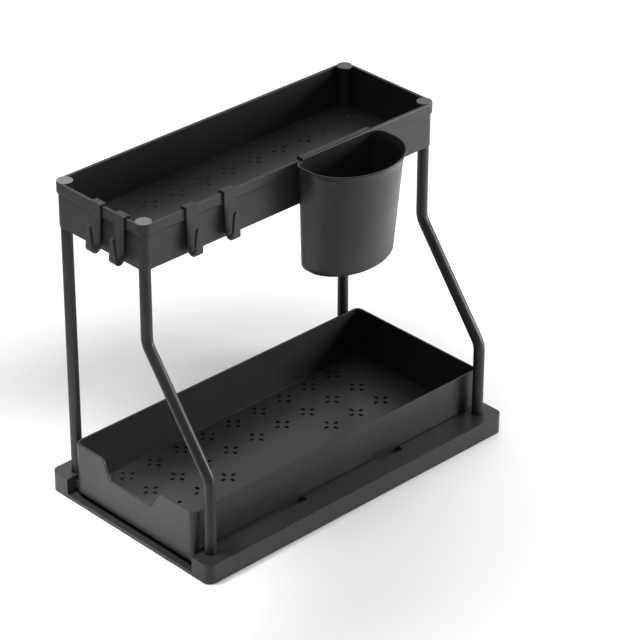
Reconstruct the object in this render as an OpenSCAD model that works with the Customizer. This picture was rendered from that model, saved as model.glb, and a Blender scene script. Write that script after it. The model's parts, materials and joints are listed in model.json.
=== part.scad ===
// Two-tier under sink organizer: a ring base with a pull-out drawer, four tube
// legs, a narrow upper tray, and a cup and hooks that hang on the tray's rim.
// Millimetres, +Z up, drawer front towards -Y, pipe side towards +X.

/* [Base] */
// Width of the base ring, left to right
base_w = 236; // [224:1:260]
// Depth of the base ring, front to back
base_l = 404; // [384:1:440]
// Height of the base ring's top above the floor
base_h = 22; // [21:0.5:26]
// Corner radius of the base ring
base_r = 9; // [8:1:16]
// Distance from the base's outer faces to each leg's axis
leg_in = 19; // [18.5:0.5:19]

/* [Legs] */
// Outer diameter of the leg tubes
tube_d = 11.5; // [10.5:0.5:12]
// Wall thickness of the leg tubes
tube_t = 1; // [0.8:0.1:1.5]
// Height at which the right legs are upright again
bend_low = 103; // [90:1:112]
// Bend radius on the tube's axis
bend_r = 21; // [15:3:30]

/* [Upper tray] */
// Height of the tray's underside above the floor
tray_z = 297; // [290:1:330]
// Height of the tray's wall
tray_h = 48; // [44:1:56]
// Distance between the left and the right leg axes at the tray
tray_span = 113; // [108:1:120]
// Distance from the tray's rim to each leg's axis
tray_in = 8.5; // [8.5:0.5:10]
// Height of the proud band around the rim
band_h = 11; // [8:0.5:13]

/* [Drawer] */
// Outer width of the drawer box
drawer_w = 176; // [170:1:176]
// Outer depth of the drawer box
drawer_l = 389; // [370:1:390]
// Height of the drawer's rim above the floor
drawer_top = 65; // [58:1:80]
// Thickness of the drawer's walls
drawer_t = 2.2; // [2:0.1:3]
// Pitch of the perforated flowers in the drawer floor
flower_p = 35.6; // [34:0.2:36]

/* [Cup] */
// Width of the cup at its rim, along the tray
cup_w = 114.5; // [90:0.5:116]
// Depth of the cup at its rim, out from the tray
cup_d = 69; // [50:1:70]
// Height of the cup body
cup_h = 116.5; // [100:0.5:120]
// Position of the cup's centre along the tray
cup_y = 53.5; // [40:0.5:70]

/* [Hooks] */
// Positions of the two front hooks along the front rim
hook_x = [-42, -8.5];
// Positions of the two side hooks along the right rim
hook_y = [-133, -86];

/* [Hidden] */
$fn = 48;
e = 0.01;

charcoal = [0.13, 0.13, 0.135];
satin_black = [0.07, 0.07, 0.075];
rubber_black = [0.05, 0.05, 0.05];
cap_grey = [0.30, 0.30, 0.31];

// base
foot_h = 1;                        // how far the feet stand proud
wall = 2.6;                        // outer wall of the base
bx = base_w / 2;
by = base_l / 2;
lx = bx - leg_in;                  // leg axes in the base
ly = by - leg_in;
boss_x = 92.4;                     // inner faces of the corner bosses
boss_y = by - 30;
ledge_x = 89.6;                    // inner edge of the ledge over the runners
ledge_t = 2.5;
run_x = 82;                        // inner edge of the runner plate
run_z = 7.3;                       // top of the runner plate
run_t = 2.5;
sill_h = 4.6;                      // top of the front sill
// upper tray
ux0 = -lx;
ux1 = -lx + tray_span;
tx0 = ux0 - tray_in;
tx1 = ux1 + tray_in;
ty = ly + tray_in;
tcx = (tx0 + tx1) / 2;
tw = tx1 - tx0;
tl = 2 * ty;
tray_top = tray_z + tray_h;
proud = 1.6;
tray_t = 2;
floor_t = 2.4;                     // drawer's floor
tray_floor_t = 3.4;                // upper tray's floor
col_r = 7.3;                       // leg columns inside the tray
// hook-on pieces
gap = 0.35;
rim_in = proud + tray_t;           // rim's whole thickness
hook_out = 2 + 6.4 + 3.2;          // strip, gap and tongue
over = max(0, ty + gap + hook_out - by);
yc = over / 2;                     // brings the box centre onto the origin
// drawer
dz = 7.6;                          // underside of the drawer
dfl = dz + floor_t;                // top of its floor
run_w = 91.6;                      // outer faces of the runner bars
dx = drawer_w / 2;
dy = drawer_l / 2;

function arc(cx, cy, r, a0, a1, n) = [for (i = [0:n]) [cx + r * cos(a0 + (a1 - a0) * i / n), cy + r * sin(a0 + (a1 - a0) * i / n)]];

// Rounded rectangle from exact pieces
module rrect(w, l, r) {
    square([w - 2 * r, l], center = true);
    square([w, l - 2 * r], center = true);
    for (sx = [-1, 1], sy = [-1, 1]) translate([sx * (w / 2 - r), sy * (l / 2 - r)]) circle(r);
}

// One petal of a flower, pointing along +X
module petal() {
    polygon([[3.8, 0], [4.6, 1.3], [6.2, 1.85], [8.2, 1.6], [9.5, 0.7], [9.5, -0.7], [8.2, -1.6], [6.2, -1.85], [4.6, -1.3]]);
}

// Four-petal perforation
module flower() {
    for (a = [0:90:270]) rotate(a) petal();
}

// ---------------------------------------------------------------- base frame
module side_notches() {
    for (s = [-1, 1], y = [-70, 62])
        translate([s > 0 ? ledge_x - 2 : -ledge_x - 6.6, y - 16.5, base_h - ledge_t - 1]) cube([8.6, 33, ledge_t + 2]);
}

module leg_socket() {
    translate([0, 0, 6]) cylinder(d = tube_d + 0.2, h = base_h);
    translate([0, 0, base_h - 1.4]) cylinder(d = tube_d + 1.4, h = 3);
    translate([0, 0, -1]) cylinder(r = 6.6, h = 4 + e);
}

module base_frame() {
    color(charcoal) translate([0, yc, 0]) difference() {
        union() {
            // outer wall
            translate([0, 0, foot_h]) linear_extrude(base_h - foot_h) difference() {
                rrect(base_w, base_l, base_r);
                rrect(base_w - 2 * wall, base_l - 2 * wall, base_r - wall);
            }
            // ledge over the runners
            translate([0, 0, base_h - ledge_t]) linear_extrude(ledge_t) difference() {
                rrect(base_w - 2, base_l - 2, base_r - 1);
                square([2 * ledge_x, base_l - 10], center = true);
            }
            // runner plate under the drawer
            translate([0, 0, run_z - run_t]) linear_extrude(run_t) difference() {
                rrect(base_w - 2, base_l - 2, base_r - 1);
                square([2 * run_x, base_l - 32], center = true);
            }
            // corner bosses that hold the legs
            for (sx = [-1, 1], sy = [-1, 1]) translate([0, 0, foot_h]) linear_extrude(base_h - foot_h)
                intersection() {
                    rrect(base_w - 2, base_l - 2, base_r - 1);
                    translate([sx > 0 ? boss_x : -bx, sy > 0 ? boss_y : -by]) square([bx - boss_x, 30]);
                }
            // plate behind the sill, under the drawer's front
            translate([-boss_x - 1, -by + 1, foot_h]) cube([2 * boss_x + 2, 22, 1.8]);
        }
        // front opening between the bosses, above the sill
        translate([-boss_x, -by - 1, sill_h]) cube([2 * boss_x, 20, base_h]);
        // back edge of the ledge ring stays inside the drawer's back
        side_notches();
        for (sx = [-1, 1], sy = [-1, 1]) translate([sx * lx, sy * ly, 0]) leg_socket();
    }
}

// ---------------------------------------------------------------- legs
leg_bot = 6.2;
leg_top = tray_top - 3.2;

module tube(h) {
    difference() {
        cylinder(d = tube_d, h = h);
        translate([0, 0, -1]) cylinder(d = tube_d - 2 * tube_t, h = h + 2);
    }
}

module straight_leg(x, y) {
    color(satin_black) translate([x, y + yc, leg_bot]) tube(leg_top - leg_bot);
}

// Bent leg: upright, a bend, a slanted run that leans 3 across for every
// 4 down, a bend, upright again
slant = acos(0.8);
bend_top = bend_low + (lx - ux1) * 4 / 3;
tang = bend_r / 3;

// Rings down the bent tube: [x, z, lean]
bend_n = 6;
rings = concat([[ux1, leg_top, 0]],
    [for (i = [0:bend_n]) let (a = slant * i / bend_n) [ux1 + bend_r * (1 - cos(a)), bend_top + tang - bend_r * sin(a), a]],
    [for (i = [0:bend_n]) let (a = slant * (1 - i / bend_n)) [lx - bend_r * (1 - cos(a)), bend_low - tang + bend_r * sin(a), a]],
    [[lx, leg_bot, 0]]);
sides = 24;

function ring_pts(r) = [for (k = rings) for (j = [0:sides - 1]) let (a = 360 * j / sides)
    [k[0] + r * cos(a) * cos(k[2]), r * sin(a), k[1] + r * cos(a) * sin(k[2])]];

module bent_leg(y) {
    n = len(rings);
    m = n * sides;
    color(satin_black) translate([0, y + yc, 0]) polyhedron(
        points = concat(ring_pts(tube_d / 2), ring_pts(tube_d / 2 - tube_t)),
        faces = concat(
            [for (k = [0:n - 2], j = [0:sides - 1]) let (h = (j + 1) % sides)
                [k * sides + j, k * sides + h, (k + 1) * sides + h, (k + 1) * sides + j]],
            [for (k = [0:n - 2], j = [0:sides - 1]) let (h = (j + 1) % sides)
                [m + k * sides + h, m + k * sides + j, m + (k + 1) * sides + j, m + (k + 1) * sides + h]],
            [for (j = [0:sides - 1]) let (h = (j + 1) % sides) [h, j, m + j, m + h]],
            [for (j = [0:sides - 1]) let (h = (j + 1) % sides)
                [m - sides + j, m - sides + h, 2 * m - sides + h, 2 * m - sides + j]]),
        convexity = 6);
}

module front_left_leg() { straight_leg(-lx, -ly); }
module back_left_leg() { straight_leg(-lx, ly); }
module front_right_leg() { bent_leg(-ly); }
module back_right_leg() { bent_leg(ly); }

// ---------------------------------------------------------------- upper tray
module upper_tray() {
    color(charcoal) translate([tcx, yc, tray_z]) difference() {
        union() {
            // perforated floor
            linear_extrude(tray_floor_t) difference() {
                rrect(tw - 2 * proud, tl - 2 * proud, tray_in);
                for (i = [-5:5], s = [-1, 1]) translate([s * 30, i * 33.9]) flower();
            }
            // wall
            linear_extrude(tray_h) difference() {
                rrect(tw - 2 * proud, tl - 2 * proud, tray_in);
                rrect(tw - 2 * rim_in, tl - 2 * rim_in, tray_in - tray_t);
            }
            // proud band around the rim
            translate([0, 0, tray_h - band_h]) linear_extrude(band_h) difference() {
                rrect(tw, tl, tray_in + 0.5);
                rrect(tw - 2 * rim_in, tl - 2 * rim_in, tray_in - tray_t);
            }
            // leg columns
            for (sx = [-1, 1], sy = [-1, 1]) translate([sx * (tw / 2 - tray_in), sy * (tl / 2 - tray_in), 0])
                cylinder(r = col_r, h = tray_h);
        }
        for (sx = [-1, 1], sy = [-1, 1]) translate([sx * (tw / 2 - tray_in), sy * (tl / 2 - tray_in), -1])
            cylinder(d = tube_d + 0.2, h = tray_h + 2);
    }
}

module leg_cap(x, y) {
    color(cap_grey) translate([x, y + yc, tray_top]) {
        cylinder(r = 8, h = 0.5);
        translate([0, 0, 0.5]) cylinder(r1 = 8, r2 = 7.4, h = 0.5);
        translate([0, 0, -9]) cylinder(d = tube_d - 2 * tube_t - 0.2, h = 9 + e);
    }
}
module front_left_cap() { leg_cap(ux0, -ly); }
module back_left_cap() { leg_cap(ux0, ly); }
module front_right_cap() { leg_cap(ux1, -ly); }
module back_right_cap() { leg_cap(ux1, ly); }

// ---------------------------------------------------------------- drawer
// Outline of the dip cut into the front panel, seen from the front
dip_z = 43.5;
function ease(t) = (1 - cos(180 * t)) / 2;
dip = concat(
    [[-47, drawer_top + 5]],
    [for (i = [0:10]) [-47 + 14 * i / 10, drawer_top - (drawer_top - dip_z) * ease(i / 10)]],
    [[24, dip_z]],
    [for (i = [1:5]) [24 + 3 * i / 5, dip_z + 0.6 * pow(i / 5, 2)]],
    [[40, drawer_top - 1.4], [42, drawer_top - 0.3], [44, drawer_top], [44, drawer_top + 5]]);

module runner(s) {
    difference() {
        union() {
            translate([s > 0 ? dx - 1 : -run_w, -dy + 3, dz]) cube([run_w - dx + 1, drawer_l - 6, 10]);
            // stop tab that meets the front boss at full pull
            translate([s > 0 ? dx - 1 : -run_w - 3.6, 100, dz]) cube([run_w - dx + 4.6, 8, 10]);
        }
    }
}

module drawer() {
    color(charcoal) translate([0, yc, 0]) union() {
        // perforated floor, bare in the middle
        translate([0, 0, dz]) linear_extrude(floor_t) difference() {
            rrect(drawer_w, drawer_l, 7);
            for (i = [-4:4], j = [-2:2]) if (!(j == 0 && abs(i) < 2))
                translate([j * flower_p, i * flower_p]) flower();
        }
        // walls with the dip in the front panel
        difference() {
            translate([0, 0, dz]) linear_extrude(drawer_top - dz) difference() {
                rrect(drawer_w, drawer_l, 7);
                rrect(drawer_w - 2 * drawer_t, drawer_l - 2 * drawer_t, 7 - drawer_t);
            }
            translate([0, -dy + 10, 0]) rotate([90, 0, 0]) linear_extrude(20) polygon(dip);
        }
        runner(1);
        runner(-1);
    }
}

// ---------------------------------------------------------------- cup
// Outline with a flat back on X = 0, rounded back corners, short straight
// sides and a half-ellipse front
cup_taper_w = 0.94;
cup_taper_d = 0.8;
cup_r = 10;
function cup_pts(w, d, n) = let (cx = 0.32 * d) concat(
    arc(cup_r, -w / 2 + cup_r, cup_r, 180, 270, 5),
    [for (i = [0:n]) let (a = -90 + 180 * i / n) [cx + (d - cx) * cos(a), (w / 2) * sin(a)]],
    arc(cup_r, w / 2 - cup_r, cup_r, 90, 180, 5));

module cup_slab(z, kw, kd, w, d) {
    translate([0, 0, z]) linear_extrude(0.01) polygon(cup_pts(w * kw, d * kd, 26));
}

module cup_shell(w, d, h, r) {
    // rounded foot, then the tapered wall up to the rim
    hull() {
        cup_slab(0, cup_taper_w * 0.88, cup_taper_d * 0.86, w, d);
        cup_slab(r * 0.3, cup_taper_w * 0.96, cup_taper_d * 0.955, w, d);
        cup_slab(r, cup_taper_w, cup_taper_d, w, d);
        cup_slab(h - 0.01, 1, 1, w, d);
    }
}

// Flared rim: the outline w by d widens by 2 mm from height z to the rim
module cup_flare(w, d, z, up) {
    hull() {
        cup_slab(z, 1, 1, w - 1.2, d - 1.8);
        cup_slab(cup_h - 1.6, 1, 1, w + 3.7, d + 1.85);
        cup_slab(cup_h - 0.01 + up, 1, 1, w + 4, d + 2);
    }
}

cup_x = tx1 + gap;
cup_drop = 0.5;                    // cup's rim below the tray's rim
cup_z = tray_top - cup_drop - cup_h;
lip_w = 92;

module cup() {
    color(charcoal) translate([cup_x, cup_y + yc, cup_z]) {
        difference() {
            union() {
                cup_shell(cup_w - 4, cup_d - 2, cup_h - 1, 10);
                cup_flare(cup_w - 4, cup_d - 2, cup_h - 9, 0);
            }
            translate([2, 0, 2.4]) cup_shell(cup_w - 8, cup_d - 6, cup_h, 8);
            translate([2, 0, 0]) cup_flare(cup_w - 8, cup_d - 6, cup_h - 8.5, 0.6);
        }
        // lip over the tray's rim
        translate([0, -lip_w / 2, cup_h - 6]) cube([2.2, lip_w, 6 + cup_drop + gap + 2.2]);
        translate([-rim_in - 2 * gap - 2.2, -lip_w / 2, cup_h + cup_drop + gap]) cube([rim_in + 2 * gap + 2.2 + 2.2, lip_w, 2.2]);
        translate([-rim_in - 2 * gap - 2.2, -lip_w / 2, cup_h + cup_drop + gap - 11]) cube([2.2, lip_w, 12]);
    }
}

// ---------------------------------------------------------------- hooks
hook_t = 2;
tongue_t = 3.2;
strip_len = 42;

// Profile runs in the XZ plane, wall at X = 0, outward +X
module hook() {
    top = tray_top + gap;
    bend_z = tray_top - strip_len;
    // lip and inner leg
    translate([-rim_in - gap - hook_t, -7, top - 10]) cube([hook_t, 14, 10 + hook_t]);
    translate([-rim_in - gap - hook_t, -7, top]) cube([rim_in + 2 * gap + 2 * hook_t, 14, hook_t]);
    // tapered strip
    translate([gap, 0, 0]) rotate([90, 0, 90]) linear_extrude(hook_t)
        polygon([[-7, top + hook_t], [-7, top - 6], [-5.2, bend_z], [5.2, bend_z], [7, top - 6], [7, top + hook_t]]);
    // round bend, thicker towards the tongue
    translate([gap + hook_t + 3.2, 4.8, bend_z]) rotate([90, 0, 0]) difference() {
        translate([0.6, 0, 0]) cylinder(r = 5.8, h = 9.6);
        translate([0, 0, -1]) cylinder(r = 3.2, h = 14);
        translate([-10, 0, -1]) cube([20, 10, 14]);
    }
    // tongue with a narrow round top
    translate([gap + hook_t + 6.4, 0, 0]) rotate([90, 0, 90]) linear_extrude(tongue_t) {
        polygon([[-4.8, bend_z], [-2.6, bend_z + 21], [2.6, bend_z + 21], [4.8, bend_z]]);
        translate([0, bend_z + 21]) circle(2.6);
    }
}

module front_hook(x) { color(charcoal) translate([x, yc - ty, 0]) rotate([0, 0, -90]) hook(); }
module side_hook(y) { color(charcoal) translate([tx1, y + yc, 0]) hook(); }
module front_hook_left() { front_hook(hook_x[0]); }
module front_hook_right() { front_hook(hook_x[1]); }
module side_hook_front() { side_hook(hook_y[0]); }
module side_hook_back() { side_hook(hook_y[1]); }

// ---------------------------------------------------------------- feet
module foot(sx, sy) {
    color(rubber_black) translate([sx * lx, sy * ly + yc, 0]) {
        cylinder(r1 = 6, r2 = 6.4, h = 0.6);
        translate([0, 0, 0.6]) cylinder(r = 6.4, h = 2.3);
    }
}
module front_left_foot() { foot(-1, -1); }
module back_left_foot() { foot(-1, 1); }
module front_right_foot() { foot(1, -1); }
module back_right_foot() { foot(1, 1); }

base_frame();
front_left_leg();
back_left_leg();
front_right_leg();
back_right_leg();
upper_tray();
front_left_cap();
back_left_cap();
front_right_cap();
back_right_cap();
drawer();
cup();
front_hook_left();
front_hook_right();
side_hook_front();
side_hook_back();
front_left_foot();
back_left_foot();
front_right_foot();
back_right_foot();
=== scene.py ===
import bpy, bmesh, math, json
from mathutils import Vector, Matrix
from mathutils.geometry import delaunay_2d_cdt


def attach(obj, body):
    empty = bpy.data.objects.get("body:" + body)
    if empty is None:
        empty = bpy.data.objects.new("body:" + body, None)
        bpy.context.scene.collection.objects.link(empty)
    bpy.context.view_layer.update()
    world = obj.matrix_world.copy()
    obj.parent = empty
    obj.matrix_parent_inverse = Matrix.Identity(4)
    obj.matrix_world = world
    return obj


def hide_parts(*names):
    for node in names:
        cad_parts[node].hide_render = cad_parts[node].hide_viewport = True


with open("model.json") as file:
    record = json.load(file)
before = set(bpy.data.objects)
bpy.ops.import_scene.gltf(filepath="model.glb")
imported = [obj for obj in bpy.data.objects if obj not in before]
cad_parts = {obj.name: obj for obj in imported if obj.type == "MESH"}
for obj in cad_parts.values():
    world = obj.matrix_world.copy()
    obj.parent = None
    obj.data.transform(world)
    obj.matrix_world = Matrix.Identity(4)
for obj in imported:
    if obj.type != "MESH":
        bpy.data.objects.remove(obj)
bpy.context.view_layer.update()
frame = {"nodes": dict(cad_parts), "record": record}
nodes = frame["nodes"]
record = frame["record"]
MM = 0.001

# ------------------------------------------------------------------ sizes (mm), as in the construction
YC = 0.725
BASE_H = 22.0
LX, LY = 99.0, 183.0
TUBE_R, TUBE_T = 5.75, 1.0
UX1 = 14.0
TX0, TX1, TY = -107.5, 22.5, 191.5
TRAY_Z, TRAY_TOP, BAND_H = 297.0, 345.0, 11.0
DRAWER_X, DRAWER_Y, DRAWER_Z, DRAWER_TOP, DRAWER_T = 88.0, 194.5, 7.6, 65.0, 2.2
FLOOR_T, TRAY_FLOOR_T = 2.4, 3.4
LEG_BOT, LEG_TOP = 6.2, TRAY_TOP - 3.2
BEND_LOW, BEND_R = 103.0, 21.0
CUP_W, CUP_D, CUP_H, CUP_Y, CUP_R = 114.5, 69.0, 116.5, 53.5, 10.0
CUP_X, CUP_DROP, GAP, LIP_W, RIM = TX1 + 0.35, 0.5, 0.35, 92.0, 3.6


# ------------------------------------------------------------------ mesh helpers
def mesh_piece(name, verts, faces, body, mat, stands_for=(), angle=35):
    me = bpy.data.meshes.new(name)
    me.from_pydata([tuple(c * MM for c in v) for v in verts], [], faces)
    me.validate()
    ob = bpy.data.objects.new(name, me)
    bpy.context.scene.collection.objects.link(ob)
    me.materials.append(mat)
    bm = bmesh.new(); bm.from_mesh(me)
    bmesh.ops.remove_doubles(bm, verts=bm.verts, dist=2e-6)
    bmesh.ops.recalc_face_normals(bm, faces=bm.faces)
    bm.to_mesh(me); bm.free()
    for p in me.polygons:
        p.use_smooth = True
    me.set_sharp_from_angle(angle=math.radians(angle))
    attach(ob, body)
    if stands_for:
        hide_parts(*stands_for)
    return ob


def skin(node, body, mat, rule, segments=3, sharp=28):
    """A piece made from a node's own mesh, with every edge rounded by the
    radius that rule(middle, direction, convex) gives in millimetres."""
    me = nodes[node].data.copy()
    me.name = node + "_skin"
    ob = bpy.data.objects.new(node + "_skin", me)
    bpy.context.scene.collection.objects.link(ob)
    bm = bmesh.new(); bm.from_mesh(me)
    bmesh.ops.remove_doubles(bm, verts=bm.verts, dist=2e-6)
    bmesh.ops.dissolve_limit(bm, angle_limit=math.radians(0.8), verts=bm.verts, edges=bm.edges)
    bmesh.ops.recalc_face_normals(bm, faces=bm.faces)
    layer = bm.edges.layers.float.get("bevel_weight_edge") or bm.edges.layers.float.new("bevel_weight_edge")
    for e in bm.edges:
        e[layer] = 0.0
        if len(e.link_faces) == 2 and e.calc_face_angle(0.0) > math.radians(sharp):
            a, b = e.verts[0].co / MM, e.verts[1].co / MM
            e[layer] = min(1.0, rule((a + b) / 2, (b - a), e.is_convex) / 4.0)
    bm.to_mesh(me); bm.free()
    me.materials.clear(); me.materials.append(mat)
    for p in me.polygons:
        p.use_smooth = True
    b = ob.modifiers.new("round", "BEVEL")
    b.width = 4.0 * MM
    b.segments = segments
    b.limit_method = "WEIGHT"
    b.use_clamp_overlap = False
    b.harden_normals = False
    w = ob.modifiers.new("normals", "WEIGHTED_NORMAL")
    w.keep_sharp = True
    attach(ob, body)
    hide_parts(node)
    return ob


def arc(cx, cy, r, a0, a1, n):
    return [(cx + r * math.cos(math.radians(a0 + (a1 - a0) * i / n)), cy + r * math.sin(math.radians(a0 + (a1 - a0) * i / n))) for i in range(n + 1)]


def loft(rings, close_first=True, close_last=True):
    """Verts and faces through rings of equal length."""
    n = len(rings[0])
    verts = [p for r in rings for p in r]
    faces = []
    for k in range(len(rings) - 1):
        for j in range(n):
            h = (j + 1) % n
            faces.append((k * n + j, k * n + h, (k + 1) * n + h, (k + 1) * n + j))
    if close_first:
        faces.append(tuple(range(n)))
    if close_last:
        faces.append(tuple(reversed(range(len(verts) - n, len(verts)))))
    return verts, faces


def offset_loop(loop, d):
    """A counter-clockwise loop moved outward by d."""
    out = []
    n = len(loop)
    for i in range(n):
        p0, p1, p2 = loop[i - 1], loop[i], loop[(i + 1) % n]
        ax, ay, bx, by = p1[0] - p0[0], p1[1] - p0[1], p2[0] - p1[0], p2[1] - p1[1]
        la, lb = math.hypot(ax, ay) or 1.0, math.hypot(bx, by) or 1.0
        nx, ny, mx, my = ay / la, -ax / la, by / lb, -bx / lb
        k = max(1 + nx * mx + ny * my, 0.3)
        out.append((p1[0] + d * (nx + mx) / k, p1[1] + d * (ny + my) / k))
    return out


def rect_loop(x0, x1, y0, y1, r, n=10, front=0, sides=0):
    """Counter-clockwise rounded rectangle, with extra points along its sides."""
    def line(a, b, k):
        return [(a[0] + (b[0] - a[0]) * i / k, a[1] + (b[1] - a[1]) * i / k) for i in range(1, k)] if k else []
    c = [arc(x1 - r, y0 + r, r, -90, 0, n), arc(x1 - r, y1 - r, r, 0, 90, n), arc(x0 + r, y1 - r, r, 90, 180, n), arc(x0 + r, y0 + r, r, 180, 270, n)]
    return c[0] + line(c[0][-1], c[1][0], sides) + c[1] + line(c[1][-1], c[2][0], sides) + c[2] + line(c[2][-1], c[3][0], sides) + c[3] + line(c[3][-1], c[0][0], front)


def petal_loops(cx, cy, grow):
    loops = []
    for q in range(4):
        c, s = ((1, 0), (0, 1), (-1, 0), (0, -1))[q]
        pts = []
        for i in range(16):
            t = 2 * math.pi * i / 16
            u, v = 6.65 + (2.8 + grow) * math.cos(t), (1.8 + grow) * math.sin(t) * (1 + 0.12 * math.cos(t))
            pts.append((cx + u * c - v * s, cy + u * s + v * c))
        loops.append(pts)
    return loops


class Solid:
    """A closed mesh built from rings of points."""
    def __init__(self):
        self.v, self.f = [], []

    def ring(self, loop, z):
        start = len(self.v)
        for x, y in loop:
            self.v.append((x, y, z(x, y) if callable(z) else z))
        return list(range(start, len(self.v)))

    def wall(self, rings):
        for a, b in zip(rings, rings[1:]):
            for j in range(len(a)):
                h = (j + 1) % len(a)
                self.f.append((a[j], a[h], b[h], b[j]))

    def cap(self, outer, holes=()):
        pts, ids, edges, spots = [], [], [], []
        for k, lp in enumerate([outer] + list(holes)):
            st = len(pts)
            for i in lp:
                pts.append(Vector(self.v[i][:2])); ids.append(i)
            edges += [(st + j, st + (j + 1) % len(lp)) for j in range(len(lp))]
            if k:
                poly = [self.v[i][:2] for i in lp]
                cx, cy = sum(q[0] for q in poly) / len(poly), sum(q[1] for q in poly) / len(poly)
                spots.append((cx, cy, max(math.hypot(q[0] - cx, q[1] - cy) for q in poly), poly))
        vs, _, fs, ov, _, _ = delaunay_2d_cdt(pts, edges, [], 1, 1e-5)
        for f in fs:
            x, y = sum(vs[i][0] for i in f) / len(f), sum(vs[i][1] for i in f) / len(f)
            if any(math.hypot(x - cx, y - cy) < r and inside(poly, x, y) for cx, cy, r, poly in spots):
                continue
            self.f.append(tuple(ids[ov[i][0]] for i in f))


def inside(poly, x, y):
    hit = False
    for i in range(len(poly)):
        (x1, y1), (x2, y2) = poly[i - 1], poly[i]
        if (y1 > y) != (y2 > y) and x < x1 + (y - y1) * (x2 - x1) / (y2 - y1):
            hit = not hit
    return hit


def weighted(ob):
    w = ob.modifiers.new("normals", "WEIGHTED_NORMAL")
    w.keep_sharp = True
    w.weight = 60
    return ob


def block(name, boxes, radius, body, mat, segments=3):
    """Rounded bars, each a box (x0, y0, z0, x1, y1, z1)."""
    bm = bmesh.new()
    for x0, y0, z0, x1, y1, z1 in boxes:
        r = bmesh.ops.create_cube(bm, size=1.0)
        bmesh.ops.scale(bm, vec=((x1 - x0) * MM, (y1 - y0) * MM, (z1 - z0) * MM), verts=r["verts"])
        bmesh.ops.translate(bm, vec=((x0 + x1) / 2 * MM, (y0 + y1) / 2 * MM, (z0 + z1) / 2 * MM), verts=r["verts"])
    bmesh.ops.bevel(bm, geom=bm.edges[:], offset=radius * MM, segments=segments, profile=0.5, affect="EDGES")
    me = bpy.data.meshes.new(name)
    bm.to_mesh(me); bm.free()
    me.materials.append(mat)
    for p in me.polygons:
        p.use_smooth = True
    ob = bpy.data.objects.new(name, me)
    bpy.context.scene.collection.objects.link(ob)
    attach(ob, body)
    return weighted(ob)


# ------------------------------------------------------------------ materials
def new_mat(name):
    m = bpy.data.materials.new(name)
    m.use_nodes = True
    nt = m.node_tree
    nt.nodes.clear()
    out = nt.nodes.new("ShaderNodeOutputMaterial")
    bs = nt.nodes.new("ShaderNodeBsdfPrincipled")
    nt.links.new(bs.outputs[0], out.inputs[0])
    return m, nt, bs


def tex_coord(nt):
    return nt.nodes.new("ShaderNodeTexCoord").outputs["Object"]


def noise(nt, co, scale, detail=2.0, rough=0.5):
    n = nt.nodes.new("ShaderNodeTexNoise")
    n.inputs["Scale"].default_value = scale
    n.inputs["Detail"].default_value = detail
    n.inputs["Roughness"].default_value = rough
    nt.links.new(co, n.inputs["Vector"])
    return n.outputs["Fac"]


def ramp(nt, fac, a, b, lo=0.3, hi=0.7):
    r = nt.nodes.new("ShaderNodeValToRGB")
    r.color_ramp.elements[0].position = lo
    r.color_ramp.elements[1].position = hi
    r.color_ramp.elements[0].color = (*a, 1)
    r.color_ramp.elements[1].color = (*b, 1)
    nt.links.new(fac, r.inputs[0])
    return r.outputs[0]


def remap(nt, fac, lo, hi):
    r = nt.nodes.new("ShaderNodeMapRange")
    r.inputs["From Min"].default_value = 0.25
    r.inputs["From Max"].default_value = 0.75
    r.inputs["To Min"].default_value = lo
    r.inputs["To Max"].default_value = hi
    nt.links.new(fac, r.inputs["Value"])
    return r.outputs[0]


def bump(nt, fac, dist, strength, prev=None):
    b = nt.nodes.new("ShaderNodeBump")
    b.inputs["Strength"].default_value = strength
    b.inputs["Distance"].default_value = dist
    nt.links.new(fac, b.inputs["Height"])
    if prev is not None:
        nt.links.new(prev, b.inputs["Normal"])
    return b.outputs[0]


def plastic(name, dark, light, r_lo, r_hi, grain=1400, depth=0.00006, strength=0.35, wave=0.10, level=0.3):
    m, nt, bs = new_mat(name)
    co = tex_coord(nt)
    nt.links.new(ramp(nt, noise(nt, co, 22, 3), dark, light), bs.inputs["Base Color"])
    nt.links.new(remap(nt, noise(nt, co, 60, 3), r_lo, r_hi), bs.inputs["Roughness"])
    wav = bump(nt, noise(nt, co, 9, 1), 0.0012, wave)
    nt.links.new(bump(nt, noise(nt, co, grain, 2, 0.6), depth, strength, wav), bs.inputs["Normal"])
    bs.inputs["Specular IOR Level"].default_value = level
    return m


PP = plastic("charcoal_plastic", (0.022, 0.022, 0.023), (0.028, 0.028, 0.029), 0.30, 0.38)
CUP = plastic("cup_plastic", (0.022, 0.022, 0.023), (0.028, 0.028, 0.029), 0.32, 0.40, 1700)
CAP = plastic("cap_plastic", (0.125, 0.125, 0.128), (0.145, 0.145, 0.149), 0.32, 0.40, 1700)
TUBE = plastic("tube_powder_coat", (0.018, 0.018, 0.019), (0.024, 0.024, 0.025), 0.36, 0.44, 2600, 0.00004, 0.5)
RUBBER = plastic("foot_rubber", (0.016, 0.016, 0.016), (0.022, 0.022, 0.022), 0.75, 0.85, 900)

body_of = {n: b for b, members in record["behaviour"]["bodies"].items() for n in members}


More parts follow.
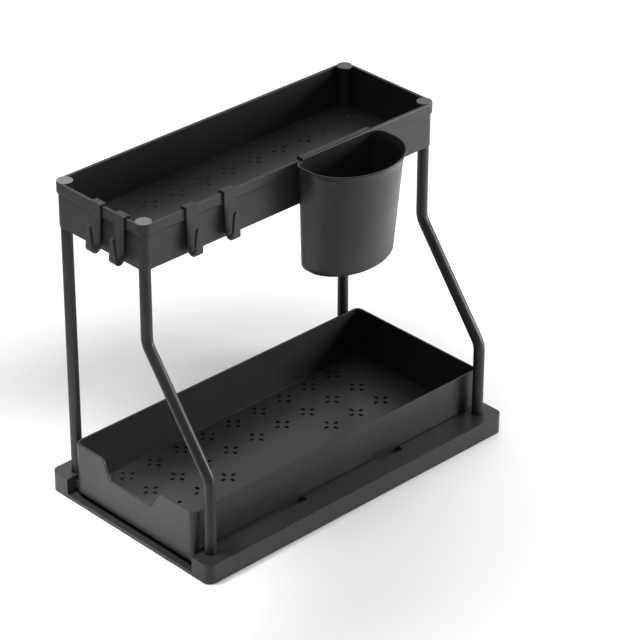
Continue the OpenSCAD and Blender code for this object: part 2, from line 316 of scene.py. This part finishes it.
# ------------------------------------------------------------------ base ring
def bevelled_copy(node, body, mat, width, segments=3, angle=34):
    """A rounded-edge piece made from a node's own mesh."""
    me = nodes[node].data.copy()
    me.name = node + "_skin"
    ob = bpy.data.objects.new(node + "_skin", me)
    bpy.context.scene.collection.objects.link(ob)
    bm = bmesh.new(); bm.from_mesh(me)
    bmesh.ops.remove_doubles(bm, verts=bm.verts, dist=2e-6)
    bmesh.ops.dissolve_limit(bm, angle_limit=math.radians(0.8), verts=bm.verts, edges=bm.edges)
    bmesh.ops.recalc_face_normals(bm, faces=bm.faces)
    bm.to_mesh(me); bm.free()
    me.materials.clear(); me.materials.append(mat)
    for p in me.polygons:
        p.use_smooth = True
    b = ob.modifiers.new("round", "BEVEL")
    b.width = width * MM
    b.segments = segments
    b.limit_method = "ANGLE"
    b.angle_limit = math.radians(angle)
    b.use_clamp_overlap = True
    b.harden_normals = True
    weighted(ob)
    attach(ob, body)
    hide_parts(node)
    return ob


bevelled_copy("base_frame", "frame", PP, 0.9)


# ------------------------------------------------------------------ legs
def sweep_tube(name, path, mat, node, sides=44):
    """Hollow tube along a path of (x, z, lean) in a plane of constant y."""
    y = path[0][3]
    def ring(k, r):
        x, z, a, _ = k
        return [(x + r * math.cos(t) * math.cos(a), y + r * math.sin(t), z + r * math.cos(t) * math.sin(a))
                for t in (2 * math.pi * j / sides for j in range(sides))]
    ro, ri, c = TUBE_R, TUBE_R - TUBE_T, 0.25
    top, bot = path[0], path[-1]
    rings = [ring((top[0], top[1], top[2], y), ri + c), ring((top[0], top[1], top[2], y), ro - c),
             ring((top[0], top[1] - c, top[2], y), ro)]
    rings += [ring(k, ro) for k in path[1:-1]]
    rings += [ring((bot[0], bot[1] + c, bot[2], y), ro), ring((bot[0], bot[1], bot[2], y), ro - c), ring((bot[0], bot[1], bot[2], y), ri + c)]
    rings += [ring((bot[0], bot[1] + c, bot[2], y), ri)] + [ring(k, ri) for k in reversed(path[1:-1])] + [ring((top[0], top[1] - c, top[2], y), ri)]
    rings.append(rings[0])
    verts, faces = loft(rings, False, False)
    return mesh_piece(name, verts, faces, body_of[node], mat, (node,), 40)


def straight_path(x, y):
    return [(x, z, 0.0, y) for z in (LEG_TOP, 250, 160, 70, LEG_BOT)]


def bent_path(y, n=14):
    slant = math.acos(0.8)
    bend_top = BEND_LOW + (LX - UX1) * 4 / 3
    tang = BEND_R / 3
    p = [(UX1, LEG_TOP, 0.0, y)]
    for i in range(n + 1):
        a = slant * i / n
        p.append((UX1 + BEND_R * (1 - math.cos(a)), bend_top + tang - BEND_R * math.sin(a), a, y))
    for i in range(n + 1):
        a = slant * (1 - i / n)
        p.append((LX - BEND_R * (1 - math.cos(a)), BEND_LOW - tang + BEND_R * math.sin(a), a, y))
    p.append((LX, LEG_BOT, 0.0, y))
    return p


sweep_tube("front_left_tube", straight_path(-LX, YC - LY), TUBE, "front_left_leg")
sweep_tube("back_left_tube", straight_path(-LX, YC + LY), TUBE, "back_left_leg")
sweep_tube("front_right_tube", bent_path(YC - LY), TUBE, "front_right_leg")
sweep_tube("back_right_tube", bent_path(YC + LY), TUBE, "back_right_leg")


# ------------------------------------------------------------------ upper tray
def upper_tray():
    y0, y1 = YC - TY, YC + TY
    outer = rect_loop(TX0, TX1, y0, y1, 9.0, 12, 24, 24)
    # inner outline: flat walls, and the leg columns bulging in at the corners
    cr, wi, ax = 7.3, RIM, 8.5
    a = math.degrees(math.asin((ax - wi) / cr))
    inner = []
    for cx, cy, mid in ((TX1 - ax, y0 + ax, 135), (TX1 - ax, y1 - ax, 225), (TX0 + ax, y1 - ax, 315), (TX0 + ax, y0 + ax, 45)):
        # walked counter-clockwise, so each column's arc runs clockwise
        col = arc(cx, cy, cr, mid + 45 + a, mid - 45 - a, 18)
        inner += col
    s = Solid()
    steps = [(-0.9, TRAY_TOP), (-0.26, TRAY_TOP - 0.26), (0, TRAY_TOP - 0.9), (0, TRAY_TOP - 4), (0, TRAY_TOP - BAND_H + 0.5), (-0.15, TRAY_TOP - BAND_H + 0.2),
             (-1.45, TRAY_TOP - BAND_H - 1.1), (-1.6, TRAY_TOP - BAND_H - 1.5), (-1.6, TRAY_TOP - 26), (-1.6, TRAY_Z + 1.3), (-1.98, TRAY_Z + 0.38), (-2.9, TRAY_Z)]
    out = [s.ring(offset_loop(outer, d), z) for d, z in steps]
    s.wall(out)
    steps = [(0.6, TRAY_TOP), (0.17, TRAY_TOP - 0.17), (0, TRAY_TOP - 0.6), (0, TRAY_TOP - 20), (0, TRAY_Z + TRAY_FLOOR_T + 0.4), (-0.12, TRAY_Z + TRAY_FLOOR_T + 0.12), (-0.4, TRAY_Z + TRAY_FLOOR_T)]
    inn = [s.ring(offset_loop(inner, d), z) for d, z in steps]
    s.wall(inn)
    s.cap(out[0], [inn[0]])
    tops, bots = [], []
    tcx = (TX0 + TX1) / 2
    e = 0.15
    for i in range(-5, 6):
        for sx in (-1, 1):
            c = (tcx + sx * 30, YC + i * 33.9)
            for t, m in zip(petal_loops(*c, e), petal_loops(*c, 0.0)):
                rings = [s.ring(t, TRAY_Z + TRAY_FLOOR_T), s.ring(m, TRAY_Z + TRAY_FLOOR_T - e), s.ring(m, TRAY_Z + e), s.ring(t, TRAY_Z)]
                s.wall(rings)
                tops.append(rings[0]); bots.append(rings[-1])
    s.cap(inn[-1], tops)
    s.cap(out[-1], bots)
    return weighted(mesh_piece("tray_shell", s.v, s.f, "frame", PP, ("upper_tray",), 38))


upper_tray()


def cap_rule(p, d, convex):
    return 0.35


for n in ("front_left_cap", "back_left_cap", "front_right_cap", "back_right_cap"):
    skin(n, "frame", CAP, cap_rule, 3, 20)
for n in ("front_left_foot", "back_left_foot", "front_right_foot", "back_right_foot"):
    skin(n, "frame", RUBBER, cap_rule, 3, 20)


# ------------------------------------------------------------------ drawer
DIP_Z = 43.5


def dip(x):
    """Height of the front panel's edge."""
    top = DRAWER_TOP
    if x < -47 or x > 44:
        return top
    if x < -33:
        return top - (top - DIP_Z) * (1 - math.cos(math.pi * (x + 47) / 14)) / 2
    if x < 24:
        return DIP_Z
    if x < 27:
        return DIP_Z + 0.6 * ((x - 24) / 3) ** 2
    if x < 40:
        return DIP_Z + 0.6 + (top - 1.4 - DIP_Z - 0.6) * (x - 27) / 13
    return top - 1.4 + 1.4 * math.sin(math.pi / 2 * (x - 40) / 4)


def drawer():
    y0, y1 = YC - DRAWER_Y, YC + DRAWER_Y
    outer = rect_loop(-DRAWER_X, DRAWER_X, y0, y1, 7.0, 12, 108, 16)
    def top(d):
        return lambda x, y: (dip(x) if y < y0 + 3 and abs(x) < DRAWER_X - 8 else DRAWER_TOP) - d
    zf = DRAWER_Z + FLOOR_T
    s = Solid()
    t = DRAWER_T
    steps = [(-1.6, DRAWER_Z), (-0.47, DRAWER_Z + 0.47), (0, DRAWER_Z + 1.6), (0, 25), (0, 42.0), (0, top(0.7)), (-0.2, top(0.2)), (-0.7, top(0)),
             (-t + 0.7, top(0)), (-t + 0.2, top(0.2)), (-t, top(0.7)), (-t, 41.9), (-t, 25), (-t, zf + 0.4), (-t - 0.04, zf + 0.22), (-t - 0.14, zf + 0.09), (-t - 0.4, zf)]
    rings = [s.ring(offset_loop(outer, d), z) for d, z in steps]
    s.wall(rings)
    tops, bots = [], []
    e = 0.15
    for i in range(-4, 5):
        for j in range(-2, 3):
            if j == 0 and abs(i) < 2:
                continue
            c = (j * 35.6, YC + i * 35.6)
            for tp, m in zip(petal_loops(*c, e), petal_loops(*c, 0.0)):
                hr = [s.ring(tp, zf), s.ring(m, zf - e), s.ring(m, DRAWER_Z + e), s.ring(tp, DRAWER_Z)]
                s.wall(hr)
                tops.append(hr[0]); bots.append(hr[-1])
    s.cap(rings[-1], tops)
    s.cap(rings[0], bots)
    weighted(mesh_piece("drawer_shell", s.v, s.f, "drawer", PP, ("drawer",), 38))
    bars = []
    for sx in (-1, 1):
        xs = sorted((sx * (DRAWER_X - 0.8), sx * 91.6))
        bars.append((xs[0], y0 + 3, DRAWER_Z, xs[1], y1 - 3, DRAWER_Z + 10))
        xs = sorted((sx * (DRAWER_X + 1), sx * 95.2))
        bars.append((xs[0], YC + 100, DRAWER_Z, xs[1], YC + 108, DRAWER_Z + 10))
    block("drawer_runners", bars, 0.6, "drawer", PP)


drawer()


# ------------------------------------------------------------------ cup
def cup_outline(w, d, x0=0.0, r=CUP_R, n=72):
    r = min(r, w / 2 - 1, d - 1)
    back = arc(r, -w / 2 + r, r, 180, 270, 10)
    front = []
    cx = max(0.32 * d, r + 0.5)
    for i in range(0, n + 1):
        a = math.radians(-90 + 180 * i / n)
        front.append((cx + (d - cx) * math.cos(a), (w / 2) * math.sin(a)))
    back2 = arc(r, w / 2 - r, r, 90, 180, 10)
    return [(x + x0, y) for x, y in back + front + back2]


def cup_piece():
    bw, bd = CUP_W - 4.0, CUP_D - 2.0
    tw, td = 0.94, 0.80
    def level(z, w, d, x0=0.0, r=CUP_R):
        return [(CUP_X + x, CUP_Y + YC + y, CUP_Z + z) for x, y in cup_outline(w, d, x0, r)]
    def body(z, w0, d0):
        k = min(1.0, max(0.0, (z - 10) / (CUP_H - 10)))
        return w0 * (tw + (1 - tw) * k), d0 * (td + (1 - td) * k)
    rings = []
    for i in range(9):                       # rounded foot
        t = math.radians(90 * i / 8)
        z = 9.0 * (1 - math.cos(t))
        ins = 8.0 * (1 - math.sin(t))
        w, d = body(z, bw, bd)
        rings.append(level(z, w - 2 * ins, d - ins, 0.0))
    for z in (20, 40, 60, 80, 100, CUP_H - 9.0):
        rings.append(level(z, *body(z, bw, bd)))
    # flared rim, rounded over
    for z, grow in ((CUP_H - 6.5, 0.05), (CUP_H - 4.0, 0.9), (CUP_H - 1.9, 1.8), (CUP_H - 1.3, 1.95), (CUP_H - 0.7, 2.0), (CUP_H - 0.2, 1.82), (CUP_H, 1.4)):
        rings.append(level(z, bw + 2 * grow, bd + grow, 0.0))
    iw, idp = CUP_W - 8.0, CUP_D - 6.0
    rings.append(level(CUP_H, iw + 5.0, idp + 3.0, 1.5))
    rings.append(level(CUP_H - 0.2, iw + 4.4, idp + 2.4, 1.8))
    rings.append(level(CUP_H - 0.7, iw + 4.0, idp + 2.0, 2.0))
    rings.append(level(CUP_H - 4.0, iw + 1.8, idp + 0.9, 2.0))
    rings.append(level(CUP_H - 6.5, iw + 0.1, idp + 0.05, 2.0))
    for z in (CUP_H - 9.0, 90, 70, 50, 30, 18):
        rings.append(level(z, *body(z, iw, idp), 2.0))
    for i in range(1, 8):                    # rounded inner floor
        t = math.radians(90 * i / 7)
        z = 2.4 + 8.0 * (1 - math.sin(t))
        ins = 7.0 * (1 - math.cos(t))
        w, d = body(z, iw, idp)
        rings.append(level(z, w - 2 * ins, d - ins, 2.0))
    verts, faces = loft(rings)
    weighted(mesh_piece("cup_shell", verts, faces, "cup", CUP, ("cup",), 50))
    # hooked lip: a folded band with round bends
    t = 2.2
    x0, x1 = -RIM - 2 * GAP - t, 2.2
    zt = CUP_DROP + GAP + t
    prof = []
    prof += [(x0, zt - 13.2 + 0.6), (x0, zt - 2.6)]
    prof += arc(x0 + 2.6, zt - 2.6, 2.6, 180, 90, 8)[1:]
    prof += arc(x1 - 2.0, zt - 2.0, 2.0, 90, 0, 8)
    prof += [(x1, -6.0), (x1 - t + 0.6, -6.0)]
    prof += [(x1 - t + 0.4, -1.0), (0.05, zt - t - 0.9)] + arc(0.05 - 0.6, zt - t - 0.6, 0.6, 0, 90, 4)
    prof += arc(x0 + t + 0.7, zt - t - 0.7, 0.7, 90, 180, 4)
    prof += [(x0 + t, zt - 13.2 + 0.6), (x0 + t - 0.5, zt - 13.2), (x0 + 0.5, zt - 13.2)]
    rings = []
    for y, s in ((-LIP_W / 2, 0.6), (-LIP_W / 2 + 0.5, 0.0), (LIP_W / 2 - 0.5, 0.0), (LIP_W / 2, 0.6)):
        cx = sum(p[0] for p in prof) / len(prof)
        ring = []
        for x, z in prof:
            k = 1 - s * 0.08
            ring.append((CUP_X + (cx + (x - cx) * k), CUP_Y + YC + y, CUP_Z + CUP_H + zt - 6 + (z - zt + 6) * k))
        rings.append(ring)
    verts, faces = loft(rings)
    weighted(mesh_piece("cup_lip", verts, faces, "cup", CUP, (), 38))


CUP_Z = TRAY_TOP - CUP_DROP - CUP_H
cup_piece()


# ------------------------------------------------------------------ hooks
def hook_rule(p, d, convex):
    top = TRAY_TOP + GAP
    if p.z > top + 1.8 and abs(d.z) < 0.5:
        return 1.0
    if not convex:
        return 0.5
    return 0.5


for n in ("front_hook_left", "front_hook_right", "side_hook_front", "side_hook_back"):
    skin(n, n, PP, hook_rule)


# ------------------------------------------------------------------ stage, light and camera
# grey of the painted shade on the floor, far from the middle
FLOOR_FAR_PAINTED_SHADE = 0.45


def floor_with_painted_shade_and_glow():
    me = bpy.data.meshes.new("floor")
    s = 6.0
    me.from_pydata([(-s, -s, 0), (s, -s, 0), (s, s, 0), (-s, s, 0)], [], [(0, 1, 2, 3)])
    ob = bpy.data.objects.new("floor", me)
    bpy.context.scene.collection.objects.link(ob)
    m, nt, bs = new_mat("pale_floor_painted_shade_and_glow")
    co = tex_coord(nt)
    # pale paper with painted shade: the colour turns greyer away from the middle, along the camera's sideways axis
    d = nt.nodes.new("ShaderNodeVectorMath")
    d.operation = "DOT_PRODUCT"
    nt.links.new(co, d.inputs[0])
    d.inputs[1].default_value = (0.691, 0.723, 0.0)
    a = nt.nodes.new("ShaderNodeMath")
    a.operation = "ABSOLUTE"
    nt.links.new(d.outputs["Value"], a.inputs[0])
    g = nt.nodes.new("ShaderNodeMapRange")
    g.interpolation_type = "SMOOTHSTEP"
    for k, v in (("From Min", 0.42), ("From Max", 0.95), ("To Min", 0.0), ("To Max", 1.0)):
        g.inputs[k].default_value = v
    nt.links.new(a.outputs[0], g.inputs["Value"])
    mix = nt.nodes.new("ShaderNodeMix")
    mix.data_type = "RGBA"
    nt.links.new(g.outputs[0], mix.inputs[0])
    nt.links.new(ramp(nt, noise(nt, co, 3, 2), (0.87, 0.87, 0.87), (0.89, 0.89, 0.89)), mix.inputs[6])
    mix.inputs[7].default_value = (FLOOR_FAR_PAINTED_SHADE, FLOOR_FAR_PAINTED_SHADE, FLOOR_FAR_PAINTED_SHADE, 1)
    nt.links.new(mix.outputs[2], bs.inputs["Base Color"])
    # painted light: the floor glows, a little brighter behind the object
    h = nt.nodes.new("ShaderNodeVectorMath")
    h.operation = "DOT_PRODUCT"
    nt.links.new(co, h.inputs[0])
    h.inputs[1].default_value = (-0.722, 0.692, 0.0)
    e = nt.nodes.new("ShaderNodeMapRange")
    e.interpolation_type = "SMOOTHSTEP"
    for k, v in (("From Min", -0.25), ("From Max", 0.5), ("To Min", 0.14), ("To Max", 0.40)):
        e.inputs[k].default_value = v
    nt.links.new(h.outputs["Value"], e.inputs["Value"])
    # and no painted glow under it
    w = nt.nodes.new("ShaderNodeVectorMath")
    w.operation = "LENGTH"
    nt.links.new(co, w.inputs[0])
    f = nt.nodes.new("ShaderNodeMapRange")
    f.interpolation_type = "SMOOTHSTEP"
    for k, v in (("From Min", 0.25), ("From Max", 0.42), ("To Min", 0.0), ("To Max", 1.0)):
        f.inputs[k].default_value = v
    nt.links.new(w.outputs["Value"], f.inputs["Value"])
    p = nt.nodes.new("ShaderNodeMath")
    p.operation = "MULTIPLY"
    nt.links.new(e.outputs[0], p.inputs[0])
    nt.links.new(f.outputs[0], p.inputs[1])
    nt.links.new(p.outputs[0], bs.inputs["Emission Strength"])
    bs.inputs["Emission Color"].default_value = (1, 1, 1, 1)
    bs.inputs["Roughness"].default_value = 0.8
    bs.inputs["Specular IOR Level"].default_value = 0.2
    me.materials.append(m)


floor_with_painted_shade_and_glow()

# soft lobes of light around the object: direction, width and strength
LOBES = [
    ((0.0, 0.0, 1.0), 8.0, 0.9),
    ((-0.4126, 0.3984, 0.8192), 8.0, 2.2),
    ((0.6841, 0.7084, 0.1736), 6.0, 0.3),
    ((-0.6841, -0.7084, 0.1736), 6.0, 0.2),
]
AMBIENT = 0.0

world = bpy.data.worlds.new("soft_studio")
bpy.context.scene.world = world
world.use_nodes = True
wt = world.node_tree
bg = wt.nodes["Background"]
bg.inputs[0].default_value = (1, 1, 1, 1)
wco = wt.nodes.new("ShaderNodeTexCoord").outputs["Generated"]


def wmath(op, a, b=None):
    n = wt.nodes.new("ShaderNodeMath")
    n.operation = op
    for i, v in enumerate((a, b)):
        if v is None:
            continue
        if isinstance(v, (int, float)):
            n.inputs[i].default_value = v
        else:
            wt.links.new(v, n.inputs[i])
    return n.outputs[0]


total = None
for axis, k, s in LOBES:
    v = wt.nodes.new("ShaderNodeVectorMath")
    v.operation = "DOT_PRODUCT"
    wt.links.new(wco, v.inputs[0])
    v.inputs[1].default_value = Vector(axis).normalized()
    lobe = wmath("MULTIPLY", wmath("EXPONENT", wmath("MULTIPLY", wmath("SUBTRACT", v.outputs["Value"], 1.0), k)), s)
    total = lobe if total is None else wmath("ADD", total, lobe)
total = wmath("ADD", total, AMBIENT)
wt.links.new(total, bg.inputs[1])


def soft_box(loc, target, size, power, spread=180):
    l = bpy.data.lights.new("soft_box", "AREA")
    l.energy = power
    l.size = size
    l.spread = math.radians(spread)
    ob = bpy.data.objects.new("soft_box", l)
    bpy.context.scene.collection.objects.link(ob)
    ob.location = loc
    ob.rotation_euler = (Vector(target) - Vector(loc)).to_track_quat("-Z", "Y").to_euler()
    ob.visible_camera = False


BOXES = [
    ((-0.06, -0.36, 0.8), (-0.05, -0.29, 0.0), 0.15, 0.6, 40),
    ((0.45, -0.75, 1.1), (0.05, 0.05, 0.02), 0.4, 1.6, 180),
    ((0.75, 0.95, 0.4), (0.0, 0.0, 0.15), 0.5, 16.0, 180),
]
for item in BOXES:
    soft_box(*item)

bpy.context.scene.view_settings.view_transform = "Standard"

cam_d = bpy.data.cameras.new("photo_camera")
cam = bpy.data.objects.new("photo_camera", cam_d)
bpy.context.scene.collection.objects.link(cam)
fwd = Vector((-0.6249779, 0.5990586, -0.5005312)).normalized()
rgt = Vector((0.6908922, 0.7229531, 0.0025950))
upv = rgt.cross(fwd).normalized()
rgt = fwd.cross(upv).normalized()
rot = Matrix((rgt, upv, -fwd)).transposed()
cam.matrix_world = Matrix.Translation(Vector((1.8882835, -1.7552112 + YC * MM, 1.6530972))) @ rot.to_4x4()
cam_d.sensor_width = 36.0
cam_d.lens = 36.0 * 3023.794 / 640.0
cam_d.clip_end = 50
bpy.context.scene.camera = cam
